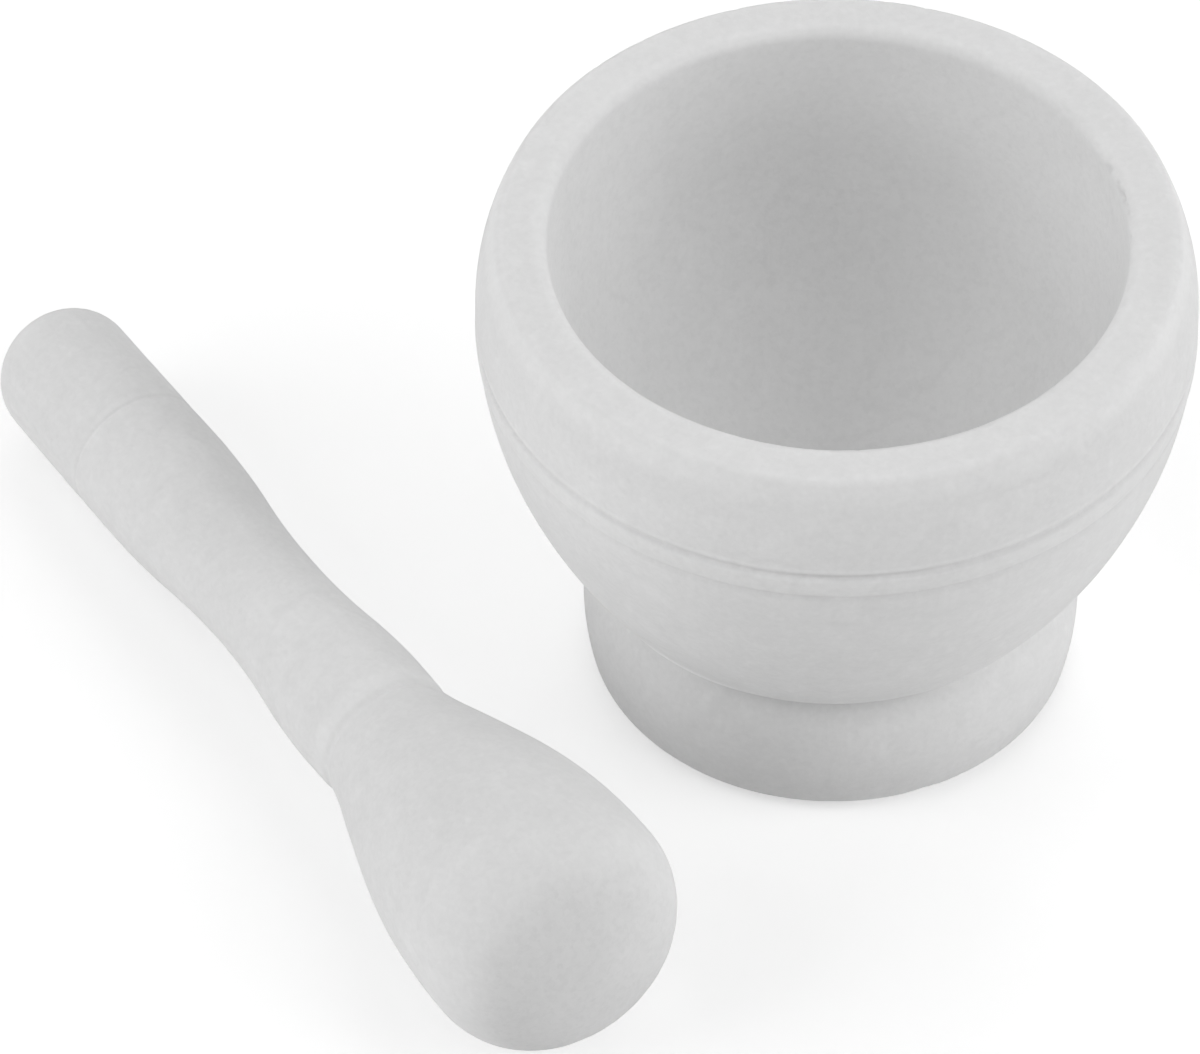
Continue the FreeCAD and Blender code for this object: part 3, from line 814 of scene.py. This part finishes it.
def build_pestle():
    points = outline((0.0, 0.0), PESTLE_OUTSIDE)
    profile = Profile(points, 0.95, [(RING, 0.8, 0.13), (COLLAR, 1.3, 0.14)])
    pestle = Turned(profile, segments=256)
    along, z, angle = pestle.along, pestle.z, pestle.angle
    ring, collar = profile.at(RING), profile.at(COLLAR)
    crease_shade = cut_pestle_lines(pestle, ring, collar)
    # a slight swelling, and a band of painted highlight, just on the handle's side of the collar
    pestle.push += bell(along, middle=collar - 2.0, half=1.4, peak=0.05)
    band = smooth(along, low=collar - 4.4, high=collar - 2.4)
    band = band * (1 - smooth(along, low=collar - 1.2, high=collar - 0.7))
    # painted highlights: beside the ring, and the band by the collar
    wear_and_highlight = np.maximum(bell(along, middle=ring - 0.9, half=0.7, peak=0.3), 0.65 * band)
    # the pounding face is rough-ground, with a wavering edge
    face_edge = z + 0.5 * np.sin(angle * 3.0 + 0.7) + 0.35 * np.sin(angle * 7.0)
    face = 0.2 * smooth(z, low=139.0, high=148.0) + smooth(face_edge, low=148.7, high=151.8)

    off_pole = smooth(pestle.radius, low=0.0, high=3.0)
    body = 0.06 * fractal(pestle.rest, scale=18.0, octaves=2, seed=5.0)
    body += 0.018 * fractal(pestle.rest, scale=5.0, octaves=2, seed=6.0)
    pecks = fractal(pestle.rest, scale=3.0, octaves=3, seed=7.0)
    pecked = 0.028 * pecks - 0.045 * smooth(-pecks, low=0.3, high=0.9)
    pestle.push += off_pole * (body + np.minimum(face, 1.0) * pecked)

    # edge, count, size, depth, cluster, reach
    losses = [
        (collar + 0.8, 18, (0.5, 1.6), (0.03, 0.12), None, 0.5),
        (ring + 0.6, 14, (0.4, 1.3), (0.03, 0.09), None, 0.35),
    ]
    hurt = np.maximum.reduce([chips(pestle, *loss) for loss in losses])
    worn_end = 1 - smooth(z, low=1.0, high=7.0)
    # besides ground faces and real wear, these carry painted highlights by the ring and collar and
    # painted shade in the lines, on the head and on the face
    painted = {
        "ground": np.maximum(face, 0.6 * hurt),
        "wear_and_highlight": np.maximum.reduce([wear_and_highlight, hurt * 0.8, 0.4 * worn_end]),
        "crease_shade": crease_shade,
        "shade_and_soil": pestle_darkening(pestle, face_edge),
    }
    return pestle.mesh("marble_pestle", PESTLE_PLACE, painted)


# ---------------------------------------------------------------- the pad


def build_pad():
    points = outline((0.0, 0.0), PAD_OUTSIDE, count=16)
    profile = Profile(points, lambda radius, height: np.where(radius > 27.5, 0.14, 1.6))
    pad = Turned(profile, segments=192)
    dents = 0.02 * fractal(pad.rest, scale=2.2, octaves=3, seed=9.0)
    dents = dents * smooth(pad.radius, low=2.0, high=6.0) * np.where(pad.z < 0.2, -1.0, 1.0)
    pad.push = np.minimum(dents, 0.0)
    edge = smooth(pad.radius, low=27.5, high=28.9)
    return pad.mesh("foam_base_pad", PAD_PLACE, {"edge": edge})


mortar_piece = build_mortar()
pestle_piece = build_pestle()
pad_piece = build_pad()

mortar_piece.data.materials.append(marble("honed_marble", shift=(0.0, 0.0, 0.0)))
pestle_piece.data.materials.append(marble("honed_marble_pestle", shift=(211.0, 57.0, 93.0)))
pad_piece.data.materials.append(foam("foam_pad"))

for piece, node, body, slot in (
    (mortar_piece, "mortar", "mortar", "marble"),
    (pad_piece, "base_pad", "mortar", "foam"),
    (pestle_piece, "pestle", "pestle", "marble"),
):
    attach(piece, body)
    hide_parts(node)


# ---------------------------------------------------------------- floor, light and camera

WHITE = (1, 1, 1, 1)
FLOOR_HALF = 30.0
FLOOR_GAP = 0.00005  # the floor lies this far under the pad
# grey that lights the pieces, then the grey and the glow the camera sees
FLOOR_BOUNCE, FLOOR_SEEN, FLOOR_GLOW = 0.90, 0.60, 0.55

# soft light from round discs of sky: (azimuth the light comes from, elevation, full angle, strength).
# Azimuth 0 is behind, 90 right, 180 in front and 270 left.
LIGHTS = [
    (90, 8, 36, 0.91),
    (108, 33, 40, 0.81),
    (270, 8, 36, 0.37),
    (240, 8, 36, 0.35),
    (210, 8, 36, 0.34),
    (252, 33, 40, 0.71),
    (270, 60, 44, 0.38),
    (30, 60, 44, 0.51),
    (150, 60, 44, 0.34),
    (0, 33, 40, 0.71),
]

# a long lens in front of the mortar, looking down at 46 degrees; angles in radians
YAW, PITCH, ROLL = 0.029645, 0.8101, 0.001
CAMERA_FROM_FOOT = Vector((0.0, -1.103245, 1.179110))
SENSOR_WIDTH, FOCAL_LENGTH = 36.0, 340.1493  # millimetres


def studio_paper():
    material = bpy.data.materials.new("studio_paper")
    material.use_nodes = True
    tree = Nodes(material.node_tree)
    out = tree.add("ShaderNodeOutputMaterial")
    path = tree.add("ShaderNodeLightPath")
    where = tree.add("ShaderNodeTexCoord").outputs["Object"]
    fibre = tree.centred(tree.noise(where, scale=90.0, detail=3.0, roughness=0.6), amount=0.004)
    colour = tree.grey(tree.math("ADD", FLOOR_SEEN, fibre))
    paper = tree.add("ShaderNodeBsdfDiffuse", {"Color": colour})
    glow = tree.add("ShaderNodeEmission", {"Color": WHITE, "Strength": FLOOR_GLOW})
    seen = tree.add("ShaderNodeAddShader", {0: paper.outputs[0], 1: glow.outputs[0]})
    hidden = tree.add("ShaderNodeBsdfDiffuse", {"Color": (*[FLOOR_BOUNCE] * 3, 1)})
    tree.split_camera(path, hidden, seen, out)
    return material


def build_floor():
    mesh = bpy.data.meshes.new("floor")
    count = 5  # grid points along each side
    side = np.linspace(-FLOOR_HALF, FLOOR_HALF, count)
    points = [(x, y, FLOOR_Z - FLOOR_GAP) for y in side for x in side]
    corners = [row * count + i for row in range(count - 1) for i in range(count - 1)]
    mesh.from_pydata(points, [], [(i, i + 1, i + count + 1, i + count) for i in corners])
    floor = bpy.data.objects.new("studio_floor", mesh)
    bpy.context.scene.collection.objects.link(floor)
    mesh.materials.append(studio_paper())


def add_light(name, azimuth, elevation, angle, strength):
    lamp = bpy.data.lights.new(name, "SUN")
    lamp.angle = math.radians(angle)
    lamp.energy = strength
    light = bpy.data.objects.new(name, lamp)
    bpy.context.scene.collection.objects.link(light)
    turn, rise = math.radians(azimuth), math.radians(elevation)
    towards = Vector(
        (math.sin(turn) * math.cos(rise), math.cos(turn) * math.cos(rise), math.sin(rise))
    )
    light.rotation_mode = "QUATERNION"
    light.rotation_quaternion = towards.to_track_quat("Z", "Y")


def build_world():
    """White to the camera, and no light from it."""
    world = bpy.data.worlds.new("studio")
    bpy.context.scene.world = world
    world.use_nodes = True
    tree = Nodes(world.node_tree)
    out = tree.add("ShaderNodeOutputWorld")
    path = tree.add("ShaderNodeLightPath")
    hidden = tree.add("ShaderNodeBackground", {"Color": WHITE, "Strength": 0.0})
    seen = tree.add("ShaderNodeBackground", {"Color": WHITE, "Strength": 1.0})
    tree.split_camera(path, hidden, seen, out)


def build_camera():
    lens = bpy.data.cameras.new("camera")
    lens.sensor_fit = "AUTO"
    lens.sensor_width = SENSOR_WIDTH
    lens.lens = FOCAL_LENGTH
    lens.clip_start, lens.clip_end = 0.05, 200.0
    camera = bpy.data.objects.new("camera", lens)
    scene.collection.objects.link(camera)
    turn = Matrix.Rotation(YAW, 3, "Z")
    right, ahead, up = turn @ Vector((1, 0, 0)), turn @ Vector((0, 1, 0)), Vector((0, 0, 1))
    forward = ahead * math.cos(PITCH) - up * math.sin(PITCH)
    upward = up * math.cos(PITCH) + ahead * math.sin(PITCH)
    x_axis = right * math.cos(ROLL) + upward * math.sin(ROLL)
    y_axis = -right * math.sin(ROLL) + upward * math.cos(ROLL)
    basis = Matrix((x_axis, y_axis, -forward)).transposed().to_4x4()
    camera.matrix_world = Matrix.Translation(mortar_foot + CAMERA_FROM_FOOT) @ basis
    scene.camera = camera


scene = bpy.context.scene
build_floor()
for k, light_row in enumerate(LIGHTS):
    add_light(f"soft_{k}", *light_row)
build_world()
scene.cycles.max_bounces = 6
scene.cycles.diffuse_bounces = 5
scene.view_settings.view_transform = "Standard"
scene.view_settings.look = "None"
scene.view_settings.exposure = 0.0
scene.view_settings.gamma = 1.0
build_camera()
